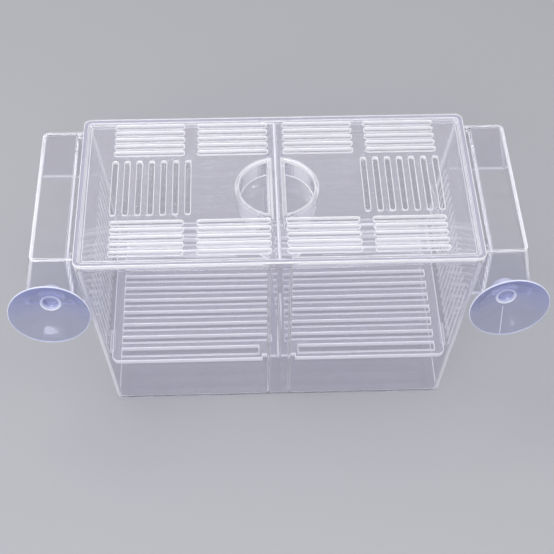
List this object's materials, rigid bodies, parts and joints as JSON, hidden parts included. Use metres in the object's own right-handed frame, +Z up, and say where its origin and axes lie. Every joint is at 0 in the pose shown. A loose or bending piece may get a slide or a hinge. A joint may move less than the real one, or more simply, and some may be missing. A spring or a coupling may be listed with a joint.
{
  "type": "fish breeding box",
  "caption": "Clear floating fish breeding box with slotted lid, lift-out divider and fry tray, and side floats with suction cups.",
  "frame": {"origin": "centre of the underside of the box's floor", "axes": "+X along the box to the right, -Y towards the side with the suction cups, +Z up"},
  "size_m": [0.2707, 0.1075, 0.113],
  "materials": {
    "clear_plastic": "clear injection-moulded polystyrene, glossy",
    "soft_blue": "soft translucent bluish PVC"
  },
  "bodies": {
    "tank": {"box_body": "clear_plastic"},
    "tray": {"fry_tray": "clear_plastic"},
    "partition": {"divider": "clear_plastic"},
    "cover": {"lid": "clear_plastic"},
    "left_wing": {"left_float": "clear_plastic"},
    "right_wing": {"right_float": "clear_plastic"},
    "left_cup": {"left_suction_cup": "soft_blue"},
    "right_cup": {"right_suction_cup": "soft_blue"}
  },
  "joints": [
    {"name": "tray_lift", "type": "slide", "parent": "tank", "child": "tray", "axis": [0, 0, 1], "range_m": [0, 0.085]},
    {"name": "divider_lift", "type": "slide", "parent": "tray", "child": "partition", "axis": [0, 0, 1], "range_m": [0, 0.08]},
    {"name": "lid_lift", "type": "slide", "parent": "partition", "child": "cover", "axis": [0, 0, 1], "range_m": [0, 0.04]},
    {"name": "left_float_pull", "type": "slide", "parent": "tank", "child": "left_wing", "axis": [-1, 0, 0], "range_m": [0, 0.025]},
    {"name": "right_float_pull", "type": "slide", "parent": "tank", "child": "right_wing", "axis": [1, 0, 0], "range_m": [0, 0.025]},
    {"name": "left_cup_slide", "type": "slide", "parent": "left_wing", "child": "left_cup", "axis": [0, 0, -1], "range_m": [0, 0.012]},
    {"name": "right_cup_slide", "type": "slide", "parent": "right_wing", "child": "right_cup", "axis": [0, 0, -1], "range_m": [0, 0.012]}
  ]
}
